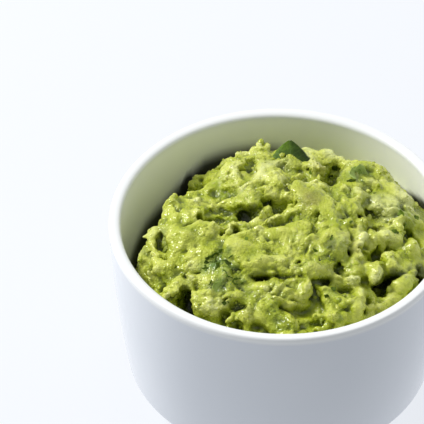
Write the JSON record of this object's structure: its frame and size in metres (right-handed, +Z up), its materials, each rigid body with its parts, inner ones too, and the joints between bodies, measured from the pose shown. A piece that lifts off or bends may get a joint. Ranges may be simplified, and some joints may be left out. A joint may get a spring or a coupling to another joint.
{
  "type": "guacamole in a bowl",
  "caption": "Roughly mashed green avocado dip, heaped in a small plain white glazed bowl with a foot ring, with a folded herb leaf standing in the back of the heap.",
  "frame": {"origin": "centre of the circle on which the foot ring stands, on the axis of the bowl", "axes": "+Z up along the bowl's axis; +X to the right of the side seen by the diner, who sits at -Y; +Y away from the diner"},
  "size_m": [0.105, 0.105, 0.0734],
  "materials": {
    "glaze": "gloss white glaze",
    "avocado_mash": "moist, rough, pale yellow-green",
    "herb": "satin dark green leaf"
  },
  "bodies": {
    "root": {"bowl": "glaze", "guacamole": "avocado_mash", "herb_leaf": "herb"}
  },
  "joints": []
}
